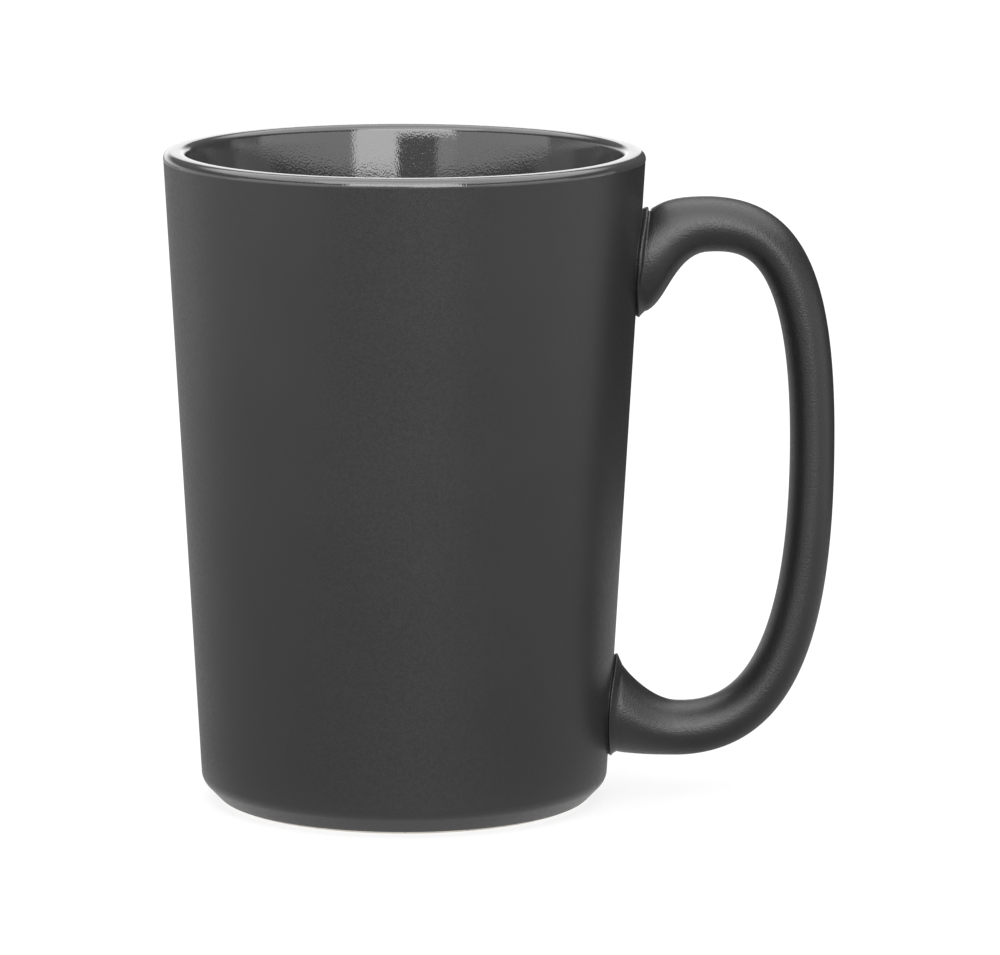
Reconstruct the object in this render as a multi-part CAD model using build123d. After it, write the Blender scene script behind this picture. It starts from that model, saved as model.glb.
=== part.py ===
from build123d import *

# Tall tapered stoneware mug with a looped handle, dark matte outside and glossy inside and on the lip.
#
# Millimetres, +Z up. The origin is on the mug's own axis, in the plane that the foot ring stands on,
# and the handle points along +X. The mug is made the way a pottery makes it: a clay cup, a handle
# cast by itself, a pad of slip that sticks each end of the handle to the wall, and coats of glaze.
# The sizes below are those of the finished, glazed mug. The clay lies one coat of glaze inside.

import os

# ---- cup, outside the glaze ----
mug_height = 121.0
rim_radius = 44.4  # of the straight wall, carried up to the lip
base_radius = 37.5  # of the same straight wall, carried down to z = 0
wall_thickness = 5.2
floor_thickness = 5.0
glaze = 0.4  # one coat

# ---- lip ----
lip_thickness = 4.2
lip_taper = 15.0  # height over which the wall thins to the lip
lip_taper_round = 60.0  # from the straight inner wall into that taper
lip_outer_round = 1.0
lip_inner_round = 1.2
gloss_band = 1.5  # how far the inner glaze runs down over the outside of the lip

# ---- foot ----
foot_height = 3.4
foot_inset = 2.4  # from the wall in to the side of the foot
foot_side = 0.1  # upright part of the foot's side, between its two rounds
foot_land = 3.4  # width of the flat that the mug stands on
shoulder_round = 2.0  # from the wall into the ledge over the foot
crease_round = 0.3  # from that ledge into the foot
recess_depth = 2.0
recess_round = 1.0
land_inner_round = 0.5
dry_foot = 0.6  # bare clay above the standing plane
floor_round = 8.0  # from the inner wall into the floor

# ---- handle, outside the glaze: the loop, by its middle line ----
crown_below_lip = 8.5  # lip down to the top of the handle
crown_out = 12.5  # from the wall to the highest point of the middle line
crown_thickness = 10.15
crown_width = 13.4
grip_share = 0.56  # how far up from the heel to the crown the grip stands furthest out
finger_room = 30.1  # from the wall to the inside of the grip
grip_thickness = 8.25
grip_width = 13.0
heel_above_base = 7.9  # standing plane up to the underside of the handle
heel_out = 12.65
heel_thickness = 10.1
heel_width = 13.4
upper_fullness = (0.55, 0.87)  # how long the loop keeps the directions of the crown and the grip
lower_fullness = (0.67, 0.71)  # the same for the heel and the grip

# ---- handle, outside the glaze: the two roots ----
upper_root_below_lip = 11.4  # lip down to the top of the root
upper_root_height = 18.6
upper_root_width = 16.4
upper_root_slopes = (0.56, 0.17)  # of the outside and of the inside, where they meet the slip
upper_root_pull = (0.55, 0.32)  # how long the crown's and the root's directions are kept
lower_root_above_base = 8.6
lower_root_height = 17.4
lower_root_width = 15.4
lower_root_slopes = (-0.2, -1.25)
lower_root_pull = (0.37, 0.27)
sections_per_span = 4

# ---- slip joints, outside the glaze ----
slip_rise = 0.8  # how far the bead stands off the wall
slip_bead = 0.9  # how far it is squeezed out round the root
bead_round = 0.35
trim_depth = 3.5  # how far the loft runs on before it is trimmed by the slip


def wall_radius(z):
    """Radius of the glazed wall at a height."""
    return base_radius + (rim_radius - base_radius) * z / mug_height


def within_wall(grown):
    """Everything inside the straight wall, grown outwards by a distance."""
    over = 0.2 * mug_height
    low = -over
    high = mug_height + over
    bottom = Vector(wall_radius(low), 0, low)
    top = Vector(wall_radius(high), 0, high)
    along = (top - bottom).normalized()
    out = Vector(along.Z, 0, -along.X) * grown
    outline = Polyline((0, 0, low), bottom + out, top + out, (0, 0, high), close=True)
    return revolve(make_face(outline), Axis.Z)


# ------------------------------------------------------------------ the cup and its coats

foot_round = foot_height - crease_round - foot_side
foot_radius = wall_radius(foot_height) - foot_inset
land_outer = foot_radius - foot_round
land_inner = land_outer - foot_land
floor_top = recess_depth + floor_thickness
band_edge = mug_height - gloss_band


def cup_section():
    """Half of the glazed cup's section in the XZ plane."""
    inner_floor = wall_radius(floor_top) - wall_thickness
    taper_z = mug_height - lip_taper
    corners = [
        (0, recess_depth, 0),
        (land_inner, recess_depth, recess_round),
        (land_inner, 0, land_inner_round),
        (foot_radius, 0, foot_round),
        (foot_radius, foot_height, crease_round),
        (wall_radius(foot_height), foot_height, shoulder_round),
        (rim_radius, mug_height, lip_outer_round),
        (rim_radius - lip_thickness, mug_height, lip_inner_round),
        (wall_radius(taper_z) - wall_thickness, taper_z, lip_taper_round),
        (inner_floor, floor_top, floor_round),
        (0, floor_top, 0),
    ]
    section = make_face(Polyline(*[(x, 0, z) for x, z, _ in corners], close=True))
    for x, z, radius in corners:
        if radius:
            corner = section.vertices().sort_by_distance((x, 0, z))[0]
            section = fillet(corner, radius)
    return section


def region(*corners):
    """A straight-sided area of the XZ plane, for sorting out parts of a section."""
    return make_face(Polyline(*[(x, 0, z) for x, z in corners], close=True))


def clay_section(glazed):
    """The same half section without its glaze, but with the dry foot at full size."""
    both_sides = glazed + mirror(glazed, about=Plane.YZ)
    reach = 2 * rim_radius
    half = region((0, 0), (reach, 0), (reach, mug_height), (0, mug_height))
    dry = region((0, 0), (reach, 0), (reach, dry_foot), (0, dry_foot))
    return (offset(both_sides, amount=-glaze) & half) + (glazed & dry)


def outside_region():
    """Everything from the middle of the wall outwards, up to the edge of the gloss band."""
    reach = 2 * rim_radius
    land_middle = land_inner + foot_land / 2
    return region(
        (land_middle, 0),
        (reach, 0),
        (reach, band_edge),
        (wall_radius(band_edge) - lip_thickness / 2, band_edge),
        (wall_radius(floor_top) - wall_thickness / 2, floor_top),
    )


def recess_region():
    """The hollow inside the foot ring, up to the middle of the floor."""
    land_middle = land_inner + foot_land / 2
    floor_middle = recess_depth + floor_thickness / 2
    return region((0, 0), (land_middle, 0), (land_middle, floor_middle), (0, floor_middle))


# ------------------------------------------------------------------ the handle

crown_z = mug_height - crown_below_lip - crown_thickness / 2
heel_z = heel_above_base + heel_thickness / 2
grip_z = heel_z + grip_share * (crown_z - heel_z)
crown_x = wall_radius(crown_z) + crown_out
heel_x = wall_radius(heel_z) + heel_out
grip_x = wall_radius(grip_z) + finger_room + grip_thickness / 2
upper_root_z = mug_height - upper_root_below_lip - upper_root_height / 2
lower_root_z = lower_root_above_base + lower_root_height / 2


def ease(a, b, c, d, t):
    """A smooth run from a to d that leaves towards b and arrives from c."""
    return a * (1 - t) ** 3 + 3 * b * t * (1 - t) ** 2 + 3 * c * t**2 * (1 - t) + d * t**3


def station(x, z, heading, thickness, width):
    """A place on the handle's middle line, the plane across it and the size of its section."""
    outward = heading.cross(Vector(0, 1, 0))
    return Plane((x, 0, z), x_dir=outward, z_dir=heading), thickness, width


def loop_quarter(start, fullness):
    """Stations from the crown or the heel round to the grip."""
    x, z, thickness, width = start
    first_arm = Vector(fullness[0] * (grip_x - x), 0, 0)
    last_arm = Vector(0, 0, fullness[1] * (z - grip_z))
    first = Vector(x, 0, z)
    last = Vector(grip_x, 0, grip_z)
    line = Bezier(first, first + first_arm, last + last_arm, last)
    stations = []
    for i in range(sections_per_span + 1):
        t = i / sections_per_span
        point = line.position_at(t)
        heading = line.tangent_at(t) * (1 if z > grip_z else -1)
        across = grip_thickness + (thickness - grip_thickness) * (1 - t) ** 2
        breadth = grip_width + (width - grip_width) * (1 - t) ** 2
        stations.append(station(point.X, point.Z, heading, across, breadth))
    return stations


def root_span(start, root_z, root_height, root_width, slopes, pull, side):
    """Stations from the crown or the heel in to the wall, all of them upright."""
    x, z, thickness, width = start
    root_x = wall_radius(root_z) + slip_rise
    run = x - root_x
    heading = Vector(side, 0, 0)
    near = (z + side * thickness / 2, z - side * thickness / 2)
    far = (root_z + side * root_height / 2, root_z - side * root_height / 2)
    stations = []
    for i in range(sections_per_span + 1):
        t = i / sections_per_span
        along = ease(x, x - pull[0] * run, root_x + pull[1] * run, root_x, t)
        edges = [ease(n, n, f + s * pull[1] * run, f, t) for n, f, s in zip(near, far, slopes)]
        breadth = ease(width, width, root_width, root_width, t)
        height = abs(edges[0] - edges[1])
        stations.append(station(along, sum(edges) / 2, heading, height, breadth))
    edges = [f - s * trim_depth for f, s in zip(far, slopes)]
    height = abs(edges[0] - edges[1])
    stations.append(station(root_x - trim_depth, sum(edges) / 2, heading, height, root_width))
    return stations


def handle_stations():
    """Every station of the handle, from inside the wall at the top to inside it at the bottom."""
    crown = (crown_x, crown_z, crown_thickness, crown_width)
    heel = (heel_x, heel_z, heel_thickness, heel_width)
    upper_root = (upper_root_z, upper_root_height, upper_root_width)
    lower_root = (lower_root_z, lower_root_height, lower_root_width)
    upper = root_span(crown, *upper_root, upper_root_slopes, upper_root_pull, 1)
    lower = root_span(heel, *lower_root, lower_root_slopes, lower_root_pull, -1)
    over_crown = loop_quarter(crown, upper_fullness)
    under_heel = loop_quarter(heel, lower_fullness)
    return upper[:0:-1] + over_crown + under_heel[-2::-1] + lower[1:]


def handle_loft(thinner):
    """The handle's outside, made thinner all round by a distance."""
    sections = []
    for plane, thickness, width in handle_stations():
        sections.append(plane * Ellipse(thickness / 2 - thinner, width / 2 - thinner))
    return loft(sections)


def bead(root, grown, rise):
    """The slip round a root, solid in to the mug's axis, with its outer edge rounded."""
    root_z, root_height, root_width = root
    middle = Plane((0, 0, root_z), x_dir=(0, 1, 0), z_dir=(1, 0, 0))
    oval = Ellipse(root_width / 2 + grown, root_height / 2 + grown)
    solid = extrude(middle * oval, 1.2 * rim_radius) & within_wall(rise)
    front = solid.faces().sort_by(Axis.X)[-1]
    return fillet(front.edges(), bead_round)


# ------------------------------------------------------------------ the pieces

upper_root = (upper_root_z, upper_root_height, upper_root_width)
lower_root = (lower_root_z, lower_root_height, lower_root_width)
clay_wall = within_wall(-glaze)
glazed_wall = within_wall(0)
slip_face = within_wall(slip_rise - glaze)


def slip_joint(root):
    """The pad of slip between the clay wall and the end of the handle."""
    return bead(root, slip_bead - glaze, slip_rise - glaze) - clay_wall


def handle_clay():
    """The handle without its glaze, cut to fit the slip at both ends."""
    return handle_loft(glaze) - slip_face


def handle_coat(clay, joints):
    """The glaze over the handle and over the beads of slip round its roots."""
    glazed = handle_loft(0)
    for root in (upper_root, lower_root):
        glazed += bead(root, slip_bead, slip_rise)
    coat = glazed - glazed_wall - clay
    for joint in joints:
        coat -= joint
    return coat


def outer_coat(section, joints):
    """The matte glaze outside the cup, open where the slip stands on the clay."""
    coat = revolve(section, Axis.Z)
    for joint in joints:
        coat -= joint
    return coat


glazed_half = cup_section()
clay_half = clay_section(glazed_half)
coats_half = glazed_half - clay_half

upper_slip = slip_joint(upper_root)
lower_slip = slip_joint(lower_root)
slip_joints = (upper_slip, lower_slip)
handle = handle_clay()

pieces = {
    "mug_body": revolve(clay_half, Axis.Z),
    "handle": handle,
    "upper_slip_joint": upper_slip,
    "lower_slip_joint": lower_slip,
    "interior_glaze": revolve(coats_half - outside_region() - recess_region(), Axis.Z),
    "exterior_glaze": outer_coat(coats_half & outside_region(), slip_joints),
    "handle_glaze": handle_coat(handle, slip_joints),
    "base_glaze": revolve(coats_half & recess_region(), Axis.Z),
}

os.makedirs("parts", exist_ok=True)
for name, shape in pieces.items():
    export_step(shape, f"parts/{name}.step")
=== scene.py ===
import math
import bpy
from mathutils import Matrix, Vector


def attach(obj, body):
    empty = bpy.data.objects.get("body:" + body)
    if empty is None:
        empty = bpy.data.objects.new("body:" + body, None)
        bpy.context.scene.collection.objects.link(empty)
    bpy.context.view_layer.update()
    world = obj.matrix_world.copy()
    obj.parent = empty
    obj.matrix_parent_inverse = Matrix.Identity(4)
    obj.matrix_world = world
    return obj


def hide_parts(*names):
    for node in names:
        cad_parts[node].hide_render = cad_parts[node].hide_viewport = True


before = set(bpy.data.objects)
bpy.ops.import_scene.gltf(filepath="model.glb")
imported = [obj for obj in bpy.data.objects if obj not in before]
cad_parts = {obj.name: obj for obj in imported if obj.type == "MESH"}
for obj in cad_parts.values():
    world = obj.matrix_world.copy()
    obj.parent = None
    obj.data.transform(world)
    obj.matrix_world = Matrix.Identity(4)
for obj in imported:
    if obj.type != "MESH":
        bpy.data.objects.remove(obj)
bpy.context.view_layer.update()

# Sizes are in millimetres here and become metres when a mesh is made.
MM = 0.001

# ---------------------------------------------------------------- sizes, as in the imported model

MUG_HEIGHT = 121.0
RIM_RADIUS = 44.4
BASE_RADIUS = 37.5
WALL = 5.2
LIP_WALL = 4.2
LIP_TAPER = 15.0  # how far below the lip the wall starts to thin
LIP_OUTER_ROUND = 1.4
LIP_INNER_ROUND = 1.3
TAPER_ROUND = 60.0
FLOOR_TOP = 7.0
FLOOR_ROUND = 8.0
FOOT_HEIGHT = 3.4
FOOT_INSET = 2.4
FOOT_LAND = 3.4
FOOT_SIDE = 0.4  # the upright part of the foot ring's side, over its round
SHOULDER_ROUND = 2.0
CREASE_ROUND = 0.3
RECESS = 2.0
RECESS_ROUND = 1.0
DRY_FOOT = 0.6
GLAZE = 0.4
GLOSS_BAND = 1.5

# The matte glaze fills the crease over the foot ring and runs down to it as a bevel. Its lower
# corner is this far inside the ring's side, and its upper corner is at this height.
BEVEL_IN = 1.4
BEVEL_TOP = 4.0
BEVEL_ROUND = 3.0

BAND_STEP = 0.07  # the matte coat lies this much under the gloss coat where they meet
BAND_TUCK = (0.12, 0.1)  # how far the gloss coat goes on below its edge, outside and inside

ARC_STEPS = 10
LONGEST_RUN = 2.0  # longer runs of a profile are divided
AROUND = 288  # segments round the cup
ON_AXIS = 1e-6  # a profile's point nearer to the axis than this is on it
SHARP = math.radians(50)  # edges that turn by more than this aren't smoothed over


def wall_radius(z):
    """Radius of the glazed outer wall at a height."""
    return BASE_RADIUS + (RIM_RADIUS - BASE_RADIUS) * z / MUG_HEIGHT


# ---------------------------------------------------------------- mesh helpers


def mesh_object(name, verts, faces):
    """A smooth-shaded mesh object from points in millimetres."""
    mesh = bpy.data.meshes.new(name)
    mesh.from_pydata([(x * MM, y * MM, z * MM) for x, y, z in verts], [], faces)
    mesh.validate()
    mesh.shade_smooth()
    mesh.set_sharp_from_angle(angle=SHARP)
    obj = bpy.data.objects.new(name, mesh)
    bpy.context.scene.collection.objects.link(obj)
    return obj


def rounded(corners):
    """A polyline through (r, z, radius) corners, with each corner turned into an arc."""
    line = []
    for i, (r, z, radius) in enumerate(corners):
        here = Vector((r, z))
        if not radius or i in (0, len(corners) - 1):
            line.append(here)
            continue
        back = (Vector(corners[i - 1][:2]) - here).normalized()
        on = (Vector(corners[i + 1][:2]) - here).normalized()
        half = back.angle(on) / 2
        centre = here + (back + on).normalized() * (radius / math.sin(half))
        start = here + back * (radius / math.tan(half)) - centre
        end = here + on * (radius / math.tan(half)) - centre
        turn = start.angle_signed(end)
        for k in range(ARC_STEPS + 1):
            a = -turn * k / ARC_STEPS
            spin = Matrix(((math.cos(a), -math.sin(a)), (math.sin(a), math.cos(a))))
            line.append(centre + spin @ start)
    return line


def refined(line):
    """The same polyline with long runs divided, so that its shading stays even."""
    out = [line[0]]
    for a, b in zip(line, line[1:]):
        parts = max(1, math.ceil((b - a).length / LONGEST_RUN))
        for k in range(1, parts + 1):
            out.append(a.lerp(b, k / parts))
    return out


def inset(line, amount):
    """The polyline moved to its left by an amount."""
    out = []
    for i, p in enumerate(line):
        a = line[max(i - 1, 0)]
        b = line[min(i + 1, len(line) - 1)]
        along = (b - a).normalized()
        out.append(p + Vector((-along.y, along.x)) * amount)
    return out


def lathe(name, profile):
    """A closed profile of (r, z) points turned round the Z axis, with poles on the axis."""
    verts, rings, faces = [], [], []
    for p in profile:
        if p.x < ON_AXIS:
            verts.append((0.0, 0.0, p.y))
            rings.append([len(verts) - 1])
            continue
        first = len(verts)
        for k in range(AROUND):
            a = 2 * math.pi * k / AROUND
            verts.append((p.x * math.cos(a), p.x * math.sin(a), p.y))
        rings.append(list(range(first, first + AROUND)))
    for ring, following in zip(rings, rings[1:] + rings[:1]):
        if len(ring) == 1 and len(following) == 1:
            continue
        for k in range(AROUND):
            n = (k + 1) % AROUND
            if len(ring) == 1:
                faces.append((ring[0], following[n], following[k]))
            elif len(following) == 1:
                faces.append((ring[k], ring[n], following[0]))
            else:
                faces.append((ring[k], ring[n], following[n], following[k]))
    return mesh_object(name, verts, faces)


# ---------------------------------------------------------------- coats of the cup

foot_radius = wall_radius(FOOT_HEIGHT) - FOOT_INSET
foot_round = FOOT_HEIGHT - FOOT_SIDE
land_inner = foot_radius - foot_round - FOOT_LAND
taper_z = MUG_HEIGHT - LIP_TAPER


def cup_line(filled):
    """
    The glazed surface from the standing flat, up the outside, over the lip and down inside.
    The crease over the foot ring is either filled with glaze or bare.
    """
    foot = [
        (foot_radius, 0, foot_round),
        (foot_radius, FOOT_HEIGHT, CREASE_ROUND),
        (wall_radius(FOOT_HEIGHT), FOOT_HEIGHT, SHOULDER_ROUND),
    ]
    if filled:
        foot = [
            (foot_radius - BEVEL_IN, 0, foot_round),
            (wall_radius(BEVEL_TOP), BEVEL_TOP, BEVEL_ROUND),
        ]
    start = [(land_inner, 0, 0)]
    above = [
        (RIM_RADIUS, MUG_HEIGHT, LIP_OUTER_ROUND),
        (RIM_RADIUS - LIP_WALL, MUG_HEIGHT, LIP_INNER_ROUND),
        (wall_radius(taper_z) - WALL, taper_z, TAPER_ROUND),
        (wall_radius(FLOOR_TOP) - WALL, FLOOR_TOP, FLOOR_ROUND),
        (0, FLOOR_TOP, 0),
    ]
    return refined(rounded(start + foot + above))


def cut_line(line, z, keep_above):
    """Cuts a polyline at the first place where it passes a height."""
    for i, (a, b) in enumerate(zip(line, line[1:])):
        if (a.y - z) * (b.y - z) <= 0 and a.y != b.y:
            at = a.lerp(b, (z - a.y) / (b.y - a.y))
            return [at] + line[i + 1 :] if keep_above else line[: i + 1] + [at]
    return line


def exterior_coat():
    """The matte coat from the dry foot up to the edge of the gloss band."""
    lines = []
    for filled in (True, False):
        line = cut_line(cup_line(filled), DRY_FOOT, True)
        lines.append(cut_line(line, MUG_HEIGHT - GLOSS_BAND, False))
    return lathe("matte_coat", inset(lines[0], BAND_STEP) + inset(lines[1], GLAZE)[::-1])


def interior_coat():
    """The gloss coat: the end of the band outside, the lip, the inner wall and the floor."""
    line = cut_line(cup_line(False), MUG_HEIGHT - GLOSS_BAND, True)
    inner = inset(line, GLAZE)
    inner[-1].x = 0
    outer_tuck, inner_tuck = BAND_TUCK
    edge = inset(line[:2], BAND_STEP)[0] - Vector((0, outer_tuck))
    inner_edge = inner[0] - Vector((0, inner_tuck))
    return lathe("gloss_coat", [inner_edge, edge] + line + inner[:0:-1])


def base_coat():
    """The coat in the hollow inside the foot ring."""
    corners = [
        (0, RECESS, 0),
        (land_inner, RECESS, RECESS_ROUND),
        (land_inner, DRY_FOOT, 0),
    ]
    line = refined(rounded(corners))
    inner = inset(line, GLAZE)
    inner[0].x = 0
    return lathe("recess_coat", line + inner[::-1])


# ---------------------------------------------------------------- the handle's coat

# The crown and the heel: x and z of the middle line, and the section's thickness and width.
CROWN = (56.14, 107.425, 10.15, 13.4)
HEEL = (50.9, 12.95, 10.1, 13.4)
# Where the grip stands furthest out, in the same terms.
GRIP = (75.42, 65.85, 8.25, 13.0)
# How long the loop keeps the directions of the crown or the heel, and of the grip.
UPPER_FULLNESS = (0.553, 0.871)
LOWER_FULLNESS = (0.671, 0.709)
SWELL = 1.5  # how fast the section grows from the grip towards the crown and the heel
# Each root: the height of its centre, its own height and width, the slopes of its outside and
# inside, how long the directions of the loop and of the root are kept, and the side, up or down,
# on which its outside is.
UPPER_ROOT = (100.3, 18.6, 16.4, (0.56, 0.17), (0.55, 0.32), 1)
LOWER_ROOT = (17.3, 17.4, 15.4, (-0.2, -1.25), (0.37, 0.27), -1)
SLIP_RISE = 0.8  # how far the root's outline stands off the wall
HUG = 4.0  # how far from the root the handle starts to follow the wall's curve
INNER_RISE = 0.05  # where the inside of the coat ends, off the wall
# The bead of slip under the glaze, from the flank of the handle to the wall: how far outside the
# root's outline, and how far off the wall. Round most of the outline it is a thin fin.
FIN = (
    (-0.10, 1.55),
    (0.10, 1.28),
    (0.28, 1.05),
    (0.44, 0.88),
    (0.60, 0.76),
    (0.74, 0.67),
    (0.84, 0.58),
    (0.88, 0.48),
    (0.84, 0.38),
    (0.76, 0.29),
    (0.68, 0.19),
    (0.62, 0.08),
    (0.60, -0.06),
)
# At the top of the upper root it stands up as a ridge, with a groove between it and the handle.
RIDGE = (
    (-0.10, 1.60),
    (-0.12, 1.44),
    (-0.11, 1.30),
    (-0.01, 1.18),
    (0.28, 1.10),
    (0.62, 1.05),
    (0.84, 0.96),
    (0.92, 0.80),
    (0.90, 0.60),
    (0.82, 0.42),
    (0.70, 0.24),
    (0.62, 0.08),
    (0.60, -0.06),
)
# The share of the outline, from its outer end, that has the ridge, and the share over which it
# sinks into the fin.
UPPER_RIDGE = 0.65
LOWER_RIDGE = 0
RIDGE_FADE = 0.15

SECTION = 96  # points round the handle
SPAN_RINGS = 20  # from the root to the crown or the heel
LOOP_RINGS = 56  # from the crown or the heel to the grip
COARSE_SPAN = 2  # the inside of the coat takes one ring in this many
COARSE_LOOP = 4


def ease(a, b, c, d, t):
    """A smooth run from a to d that leaves towards b and arrives from c."""
    return a * (1 - t) ** 3 + 3 * b * t * (1 - t) ** 2 + 3 * c * t**2 * (1 - t) + d * t**3


def loop_quarter(start, fullness, thinner):
    """Rings from the crown or the heel to the grip: centre, outward, half thickness, half width."""
    x, z, thick, width = start
    grip_x, grip_z, grip_thick, grip_width = GRIP
    first = Vector((x, 0, z))
    last = Vector((grip_x, 0, grip_z))
    first_arm = first + Vector((fullness[0] * (grip_x - x), 0, 0))
    last_arm = last + Vector((0, 0, fullness[1] * (z - grip_z)))
    rings = []
    for k in range(LOOP_RINGS + 1):
        t = k / LOOP_RINGS
        centre = ease(first, first_arm, last_arm, last, t)
        leaving = (first_arm - first) * (1 - t) ** 2
        crossing = (last_arm - first_arm) * (2 * t * (1 - t))
        along = leaving + crossing + (last - last_arm) * t**2
        outward = along.normalized().cross(Vector((0, 1, 0)))
        if z < grip_z:
            outward = -outward
        swell = (1 - t) ** SWELL
        half_thick = (grip_thick + (thick - grip_thick) * swell) / 2 - thinner
        half_width = (grip_width + (width - grip_width) * swell) / 2 - thinner
        rings.append((centre, outward, half_thick, half_width))
    return rings


def loop_rings(thinner):
    """Rings round the loop from the crown over the grip to the heel."""
    upper = loop_quarter(CROWN, UPPER_FULLNESS, thinner)
    lower = loop_quarter(HEEL, LOWER_FULLNESS, thinner)
    return upper + lower[-2::-1]


def ring_points(ring):
    """The points of one ring, starting at its outward side."""
    centre, outward, half_thick, half_width = ring
    across = Vector((0, 1, 0))
    points = []
    for k in range(SECTION):
        a = 2 * math.pi * k / SECTION
        off_centre = outward * (half_thick * math.cos(a)) + across * (half_width * math.sin(a))
        points.append(centre + off_centre)
    return points


def wall_x(y, z):
    """Where the glazed wall is along X, on the handle's side."""
    return math.sqrt(wall_radius(z) ** 2 - y * y)


def span_points(start, root, thinner, fine):
    """Rings from the crown or the heel in to the root, bending there to follow the wall."""
    x, z, thick, width = start
    root_z, root_height, root_width, slopes, pull, side = root
    root_x = wall_radius(root_z) + SLIP_RISE
    run = x - root_x
    near = (z + side * thick / 2, z - side * thick / 2)
    far = (root_z + side * root_height / 2, root_z - side * root_height / 2)
    rings = []
    count = SPAN_RINGS if fine else SPAN_RINGS // COARSE_SPAN
    for k in range(1, count - (1 if fine else 0)):
        t = k / count
        along = ease(x, x - pull[0] * run, root_x + pull[1] * run, root_x, t)
        edges = [ease(n, n, f + s * pull[1] * run, f, t) for n, f, s in zip(near, far, slopes)]
        breadth = ease(width, width, root_width, root_width, t)
        centre = Vector((along, 0, sum(edges) / 2))
        half = abs(edges[0] - edges[1]) / 2
        ring = ring_points((centre, Vector((0, 0, side)), half - thinner, breadth / 2 - thinner))
        hug = max(0.0, 1 - (along - root_x) / HUG) ** 2
        bent = []
        for p in ring:
            bent.append(p + Vector((hug * (wall_x(p.y, p.z) - wall_radius(root_z)), 0, 0)))
        rings.append(bent)
    return rings


def bead_points(root, ridge):
    """Rings over the bead of slip, with the share of the outline that has the ridge."""
    root_z, root_height, root_width, slopes, _, side = root
    ends = (root_z + side * root_height / 2, root_z - side * root_height / 2)
    rings = []
    for fin, crest in zip(FIN, RIDGE):
        ring = []
        for k in range(SECTION):
            a = 2 * math.pi * k / SECTION
            share = (1 - math.cos(a)) / 2
            w = min(max((ridge - share) / RIDGE_FADE, 0), 1)
            out, rise = [f + (c - f) * w for f, c in zip(fin, crest)]
            edges = [e + s * max(rise - SLIP_RISE, 0) for e, s in zip(ends, slopes)]
            y = (root_width / 2 + out) * math.sin(a)
            z = sum(edges) / 2 + side * (abs(edges[0] - edges[1]) / 2 + out) * math.cos(a)
            ring.append(Vector((wall_x(y, z) + rise, y, z)))
        rings.append(ring)
    return rings


def inner_end(root):
    """The ring where the inside of the coat ends, on the slip under the bead."""
    root_z, root_height, root_width, _, _, side = root
    ring = []
    for k in range(SECTION):
        a = 2 * math.pi * k / SECTION
        y = (root_width / 2 - GLAZE) * math.sin(a)
        z = root_z + side * (root_height / 2 - GLAZE) * math.cos(a)
        ring.append(Vector((wall_x(y, z) + INNER_RISE, y, z)))
    return ring


def handle_coat():
    """The matte coat over the handle and its two beads of slip, as one closed skin."""
    skins = []
    for thinner, fine in ((0.0, True), (GLAZE, False)):
        loop = [ring_points(r) for r in loop_rings(thinner)]
        upper = span_points(CROWN, UPPER_ROOT, thinner, fine)
        lower = span_points(HEEL, LOWER_ROOT, thinner, fine)
        if fine:
            upper += bead_points(UPPER_ROOT, UPPER_RIDGE)
            lower += bead_points(LOWER_ROOT, LOWER_RIDGE)
        else:
            loop = loop[::COARSE_LOOP]
            upper.append(inner_end(UPPER_ROOT))
            lower.append(inner_end(LOWER_ROOT))
        skins.append(upper[::-1] + loop + lower)
    rings = skins[0] + skins[1][::-1]
    verts = [tuple(p) for ring in rings for p in ring]
    faces = []
    for i in range(len(rings)):
        j = (i + 1) % len(rings)
        for k in range(SECTION):
            n = (k + 1) % SECTION
            faces.append((i * SECTION + k, j * SECTION + k, j * SECTION + n, i * SECTION + n))
    return mesh_object("handle_coat", verts, faces)


# ---------------------------------------------------------------- materials


def new_material(name):
    """A material with its nodes, its links and its Principled shader."""
    mat = bpy.data.materials.new(name)
    mat.use_nodes = True
    return mat, mat.node_tree.nodes, mat.node_tree.links, mat.node_tree.nodes["Principled BSDF"]


def noise(nodes, links, scale, detail):
    """Noise that lies still on the object, with its scale in waves per metre."""
    coords = nodes.get("coords") or nodes.new("ShaderNodeTexCoord")
    coords.name = "coords"
    tex = nodes.new("ShaderNodeTexNoise")
    tex.inputs["Scale"].default_value = scale
    tex.inputs["Detail"].default_value = detail
    links.new(coords.outputs["Object"], tex.inputs["Vector"])
    return tex


def ramp(nodes, links, factor, stops):
    """A colour ramp with a grey or a colour at each stop."""
    node = nodes.new("ShaderNodeValToRGB")
    while len(node.color_ramp.elements) < len(stops):
        node.color_ramp.elements.new(0.5)
    for element, (place, value) in zip(node.color_ramp.elements, stops):
        element.position = place
        element.color = (*value, 1) if isinstance(value, tuple) else (value, value, value, 1)
    links.new(factor, node.inputs["Fac"])
    return node


def slope(nodes, links, source, low, high, at_low, at_high):
    """A number that runs between two values as the source runs between two others."""
    node = nodes.new("ShaderNodeMapRange")
    node.inputs["From Min"].default_value = low
    node.inputs["From Max"].default_value = high
    node.inputs["To Min"].default_value = at_low
    node.inputs["To Max"].default_value = at_high
    links.new(source, node.inputs["Value"])
    return node


def bump(nodes, links, height, distance, strength, under=None):
    """A bump of a given depth in metres, on top of another one if there is one."""
    node = nodes.new("ShaderNodeBump")
    node.inputs["Distance"].default_value = distance
    node.inputs["Strength"].default_value = strength
    links.new(height, node.inputs["Height"])
    if under:
        links.new(under.outputs["Normal"], node.inputs["Normal"])
    return node


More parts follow.
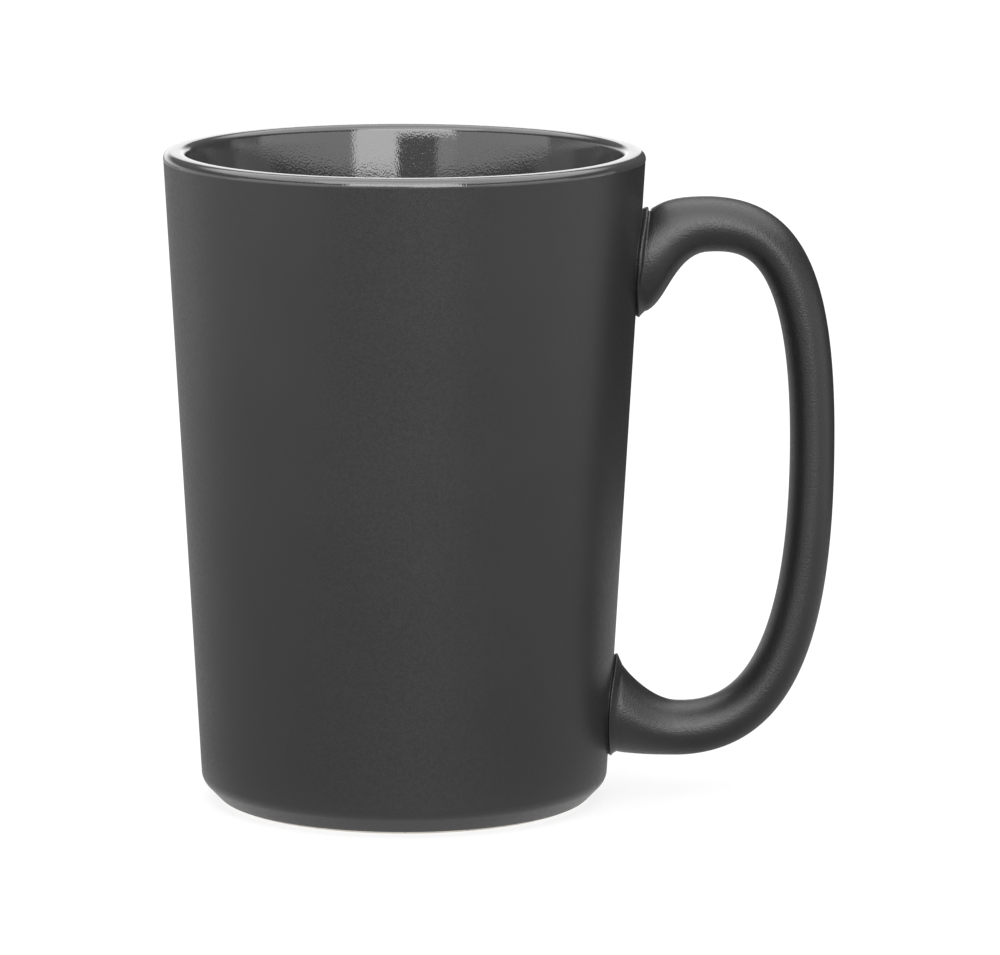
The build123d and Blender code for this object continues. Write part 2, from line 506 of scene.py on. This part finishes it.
def matte_glaze(name, pebble):
    """Dark satin-matte glaze: faint clouds in its tone, long waves, and pebbles of a given depth."""
    mat, nodes, links, shader = new_material(name)
    clouds = noise(nodes, links, scale=60.0, detail=3.0)
    tone = ramp(nodes, links, clouds.outputs["Fac"], ((0.3, 0.0135), (0.7, 0.0165)))
    links.new(tone.outputs["Color"], shader.inputs["Base Color"])
    grain = noise(nodes, links, scale=1500.0, detail=2.0)
    gloss = ramp(nodes, links, grain.outputs["Fac"], ((0.35, 0.34), (0.65, 0.42)))
    links.new(gloss.outputs["Color"], shader.inputs["Roughness"])
    waves = noise(nodes, links, scale=120.0, detail=1.0)
    coarse = bump(nodes, links, waves.outputs["Fac"], distance=0.0002, strength=0.15)
    peel = noise(nodes, links, scale=3400.0, detail=1.0)
    fine = bump(nodes, links, peel.outputs["Fac"], distance=pebble, strength=1.0, under=coarse)
    links.new(fine.outputs["Normal"], shader.inputs["Normal"])
    return mat


def gloss_glaze():
    """Dark clear-faced glaze, poured inside and over the lip."""
    mat, nodes, links, shader = new_material("gloss_glaze")
    clouds = noise(nodes, links, scale=80.0, detail=3.0)
    tone = ramp(nodes, links, clouds.outputs["Fac"], ((0.3, 0.042), (0.7, 0.05)))
    links.new(tone.outputs["Color"], shader.inputs["Base Color"])
    grain = noise(nodes, links, scale=1400.0, detail=1.0)
    gloss = ramp(nodes, links, grain.outputs["Fac"], ((0.3, 0.05), (0.7, 0.09)))
    links.new(gloss.outputs["Color"], shader.inputs["Roughness"])
    peel = noise(nodes, links, scale=2600.0, detail=1.0)
    fine = bump(nodes, links, peel.outputs["Fac"], distance=0.000012, strength=1.0)
    links.new(fine.outputs["Normal"], shader.inputs["Normal"])
    shader.inputs["IOR"].default_value = 1.7
    return mat


def bare_clay():
    """Unglazed stoneware: pale, dry, with dark iron specks and a fine tooth."""
    mat, nodes, links, shader = new_material("bare_stoneware")
    clouds = noise(nodes, links, scale=150.0, detail=4.0)
    dark, light = (0.50, 0.46, 0.41), (0.60, 0.56, 0.50)
    tone = ramp(nodes, links, clouds.outputs["Fac"], ((0.3, dark), (0.7, light)))
    specks = noise(nodes, links, scale=1600.0, detail=1.0)
    mask = ramp(nodes, links, specks.outputs["Fac"], ((0.68, 1.0), (0.74, 0.35)))
    mix = nodes.new("ShaderNodeMix")
    mix.data_type = "RGBA"
    mix.blend_type = "MULTIPLY"
    mix.inputs["Factor"].default_value = 1.0
    links.new(tone.outputs["Color"], mix.inputs["A"])
    links.new(mask.outputs["Color"], mix.inputs["B"])
    links.new(mix.outputs["Result"], shader.inputs["Base Color"])
    tooth = noise(nodes, links, scale=2500.0, detail=3.0)
    dry = ramp(nodes, links, tooth.outputs["Fac"], ((0.3, 0.78), (0.7, 0.92)))
    links.new(dry.outputs["Color"], shader.inputs["Roughness"])
    fine = bump(nodes, links, tooth.outputs["Fac"], distance=0.0001, strength=0.5)
    links.new(fine.outputs["Normal"], shader.inputs["Normal"])
    return mat


# How strongly the paper glows as painted light that the cup mirrors and is lit by: a painted pool of
# glow close to the foot and a weaker glow further off, between these distances from the cup's axis
# in metres, and how strongly where the camera looks at it.
FOOT_GLOW = 0.8
FLOOR_GLOW = 0.25
FOOT_GLOW_EDGE = (0.036, 0.056)
SEEN_GLOW = 0.8


def floor_paper_with_painted_glow():
    """White paper sweep that glows: a painted pool of light close to the foot, seen in reflections
    and lighting the cup.
    """
    mat, nodes, links, shader = new_material("white_paper_painted_glow")
    grain = noise(nodes, links, scale=300.0, detail=3.0)
    tone = ramp(nodes, links, grain.outputs["Fac"], ((0.3, 0.24), (0.7, 0.26)))
    links.new(tone.outputs["Color"], shader.inputs["Base Color"])
    shader.inputs["Roughness"].default_value = 0.9
    shader.inputs["Specular IOR Level"].default_value = 0.1
    shader.inputs["Emission Color"].default_value = (1, 1, 1, 1)
    rays = nodes.new("ShaderNodeLightPath")
    spread = nodes.new("ShaderNodeVectorMath")
    spread.operation = "LENGTH"
    links.new(nodes["coords"].outputs["Object"], spread.inputs[0])
    # Painted light: the paper's glow is stronger within these distances of the foot, for every ray
    # but the camera's.
    near = slope(nodes, links, spread.outputs["Value"], *FOOT_GLOW_EDGE, FOOT_GLOW, FLOOR_GLOW)
    lift = slope(nodes, links, rays.outputs["Is Camera Ray"], 0.0, 1.0, FLOOR_GLOW, SEEN_GLOW)
    links.new(near.outputs["Result"], lift.inputs["To Min"])
    links.new(lift.outputs["Result"], shader.inputs["Emission Strength"])
    # Seen from below the paper is clear, so that the underside of the mug shows.
    sides = nodes.new("ShaderNodeNewGeometry")
    clear = nodes.new("ShaderNodeBsdfTransparent")
    choice = nodes.new("ShaderNodeMixShader")
    links.new(sides.outputs["Backfacing"], choice.inputs["Fac"])
    links.new(shader.outputs["BSDF"], choice.inputs[1])
    links.new(clear.outputs["BSDF"], choice.inputs[2])
    links.new(choice.outputs["Shader"], nodes["Material Output"].inputs["Surface"])
    return mat


def paint(obj, mat):
    """Puts one material on a whole object."""
    obj.data.materials.clear()
    obj.data.materials.append(mat)


# ---------------------------------------------------------------- put it together

# The cup was jiggered smooth, and the cast handle keeps a coarser skin. Depths are in metres.
CUP_PEBBLE = 0.00001
HANDLE_PEBBLE = 0.00007
matte = matte_glaze("matte_glaze", CUP_PEBBLE)
matte_handle = matte_glaze("matte_glaze_handle", HANDLE_PEBBLE)
gloss = gloss_glaze()
clay = bare_clay()

COATS = (
    (exterior_coat(), "exterior_glaze", matte, "matte_glaze"),
    (interior_coat(), "interior_glaze", gloss, "gloss_glaze"),
    (base_coat(), "base_glaze", matte, "matte_glaze"),
    (handle_coat(), "handle_glaze", matte_handle, "matte_glaze"),
)
for piece, node, material, slot in COATS:
    paint(piece, material)
    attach(piece, "root")
    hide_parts(node)

for node in ("mug_body", "handle", "upper_slip_joint", "lower_slip_joint"):
    paint(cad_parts[node], clay)

# ---------------------------------------------------------------- stage, light and camera


def card(name, corners, mat):
    """A flat four-cornered sheet, corners in metres."""
    mesh = bpy.data.meshes.new(name)
    mesh.from_pydata(corners, [], [(0, 1, 2, 3)])
    obj = bpy.data.objects.new(name, mesh)
    obj.data.materials.append(mat)
    bpy.context.scene.collection.objects.link(obj)
    return obj


FLOOR_HALF = 30.0
FLOOR_GAP = 0.00005  # keeps the floor and the foot from sharing a plane
SQUARE = ((-1, -1), (1, -1), (1, 1), (-1, 1))
floor_corners = [(x * FLOOR_HALF, y * FLOOR_HALF, -FLOOR_GAP) for x, y in SQUARE]
card("floor", floor_corners, floor_paper_with_painted_glow())


def glowing(name, strength):
    """A plain glowing material."""
    mat = bpy.data.materials.new(name)
    mat.use_nodes = True
    nodes, links = mat.node_tree.nodes, mat.node_tree.links
    nodes.clear()
    glow = nodes.new("ShaderNodeEmission")
    glow.inputs["Strength"].default_value = strength
    out = nodes.new("ShaderNodeOutputMaterial")
    links.new(glow.outputs["Emission"], out.inputs["Surface"])
    return mat


def reflector(name, distance, azimuths, heights, strength):
    """
    An upright card seen only in reflections. Azimuths are in degrees, with 0 behind the camera
    and positive towards +X. Distance and heights are in metres.
    """
    corners = []
    for a, h in ((0, 0), (1, 0), (1, 1), (0, 1)):
        angle = math.radians(azimuths[a])
        corners.append((distance * math.sin(angle), -distance * math.cos(angle), heights[h]))
    obj = card(name, corners, glowing(name, strength))
    obj.visible_camera = False
    obj.visible_diffuse = False
    obj.visible_shadow = False


# Name, distance, the azimuths and the heights that it runs between, and strength. The first six
# make the room that the gloss glaze inside mirrors: a window behind the camera, with the camera's
# own dark shape before it, and walls beside it. The others shape the tone along the cup's sides.
REFLECTORS = (
    ("window_bright", 1.9, (3.7, 28.0), (0.18, 1.6), 5.4),
    ("window_above", 1.95, (-28.0, 3.7), (0.46, 1.6), 5.4),
    ("window_dim", 1.9, (-28.0, -17.8), (0.18, 0.46), 1.9),
    ("camera_dark", 1.85, (-17.8, 3.7), (0.18, 0.45), 0.3),
    ("wall_left", 1.9, (-85.0, -28.0), (0.18, 0.6), 1.7),
    ("wall_right", 1.9, (28.0, 85.0), (0.18, 0.6), 1.7),
    ("fill_left", 0.4, (-130.0, -90.0), (0.0, 0.15), 1.0),
    ("fill_left_front", 0.42, (-90.0, -35.0), (0.0, 0.15), 1.3),
    ("fill_right", 0.4, (40.0, 105.0), (0.0, 0.15), 1.15),
    ("flag_right", 0.3, (112.0, 165.0), (0.0, 0.25), 0.08),
)
for values in REFLECTORS:
    reflector(*values)


def soft_light(name, place, target, size, power):
    """A rectangular area light that points at a target."""
    data = bpy.data.lights.new(name, "AREA")
    data.shape = "RECTANGLE"
    data.size, data.size_y = size
    data.energy = power
    obj = bpy.data.objects.new(name, data)
    obj.location = place
    aim = Vector(target) - Vector(place)
    obj.rotation_euler = aim.to_track_quat("-Z", "Y").to_euler()
    obj.visible_camera = False
    bpy.context.scene.collection.objects.link(obj)


SOFTBOX_PLACE = (-0.1, -0.55, 0.8)
SOFTBOX_TARGET = (0, 0, 0.06)
SOFTBOX_SIZE = (0.9, 0.7)
SOFTBOX_POWER = 3.0
soft_light("top_softbox", SOFTBOX_PLACE, SOFTBOX_TARGET, SOFTBOX_SIZE, SOFTBOX_POWER)

# In reflections the sky is bright paper low down, then a darker gap, and a bright ceiling. These
# give the two heights on a unit sphere between which the sky changes, and its strength at each.
LOW_BAND = (0.13, 0.23, 1.6, 0.15)
CEILING = (0.5, 0.65, 0.0, 2.4)
# The low band is dimmer at the sides than in front and behind: the square of Y, and the share.
SIDES_TO_ENDS = (0.0, 1.0, 0.4, 1.0)
DOME = 0.95  # matte surfaces are lit evenly from all round

world = bpy.data.worlds.new("studio")
bpy.context.scene.world = world
world.use_nodes = True
wn, wl = world.node_tree.nodes, world.node_tree.links
coords = wn.new("ShaderNodeTexCoord")
split = wn.new("ShaderNodeSeparateXYZ")
wl.new(coords.outputs["Generated"], split.inputs["Vector"])

low_band = slope(wn, wl, split.outputs["Z"], *LOW_BAND)
depth = wn.new("ShaderNodeMath")
depth.operation = "MULTIPLY"
wl.new(split.outputs["Y"], depth.inputs[0])
wl.new(split.outputs["Y"], depth.inputs[1])
ends = slope(wn, wl, depth.outputs["Value"], *SIDES_TO_ENDS)
sky = wn["Background"]
sky.inputs["Color"].default_value = (1, 1, 1, 1)
ceiling = slope(wn, wl, split.outputs["Z"], *CEILING)
strength = wn.new("ShaderNodeMath")
strength.operation = "MULTIPLY_ADD"
wl.new(low_band.outputs["Result"], strength.inputs[0])
wl.new(ends.outputs["Result"], strength.inputs[1])
wl.new(ceiling.outputs["Result"], strength.inputs[2])
wl.new(strength.outputs["Value"], sky.inputs["Strength"])

# Matte surfaces see the dome, the camera sees a white backdrop, and reflections see the sky.
backdrop = wn.new("ShaderNodeBackground")
backdrop.inputs["Color"].default_value = (1, 1, 1, 1)
rays = wn.new("ShaderNodeLightPath")
dome = wn.new("ShaderNodeBackground")
dome.inputs["Color"].default_value = (1, 1, 1, 1)
dome.inputs["Strength"].default_value = DOME
soft = wn.new("ShaderNodeMixShader")
wl.new(rays.outputs["Is Diffuse Ray"], soft.inputs["Fac"])
wl.new(sky.outputs["Background"], soft.inputs[1])
wl.new(dome.outputs["Background"], soft.inputs[2])
choice = wn.new("ShaderNodeMixShader")
wl.new(rays.outputs["Is Camera Ray"], choice.inputs["Fac"])
wl.new(soft.outputs["Shader"], choice.inputs[1])
wl.new(backdrop.outputs["Background"], choice.inputs[2])
wl.new(choice.outputs["Shader"], wn["World Output"].inputs["Surface"])

# The camera stands 1.23 m in front of the mug and a little above it. Angles are in radians.
CAMERA_PLACE = (0.0, -1.22591, 0.26819)
CAMERA_PAN = 0.01442
CAMERA_TILT = 0.16813
CAMERA_ROLL = 0.0027
SENSOR_WIDTH = 36.0
FOCAL_LENGTH = 241.97
FAR_CLIP = 100.0
right = Vector((math.cos(CAMERA_PAN), -math.sin(CAMERA_PAN), 0))
ahead = Vector((math.sin(CAMERA_PAN), math.cos(CAMERA_PAN), 0))
forward = ahead * math.cos(CAMERA_TILT) - Vector((0, 0, math.sin(CAMERA_TILT)))
up = right.cross(forward)
rolled_right = right * math.cos(CAMERA_ROLL) + up * math.sin(CAMERA_ROLL)
rolled_up = up * math.cos(CAMERA_ROLL) - right * math.sin(CAMERA_ROLL)
optics = bpy.data.cameras.new("camera")
optics.sensor_width = SENSOR_WIDTH
optics.lens = FOCAL_LENGTH
optics.clip_end = FAR_CLIP
camera = bpy.data.objects.new("camera", optics)
turn = Matrix((rolled_right, rolled_up, -forward)).transposed()
camera.matrix_world = Matrix.Translation(CAMERA_PLACE) @ turn.to_4x4()
bpy.context.scene.collection.objects.link(camera)
bpy.context.scene.camera = camera
bpy.context.scene.view_settings.view_transform = "Standard"
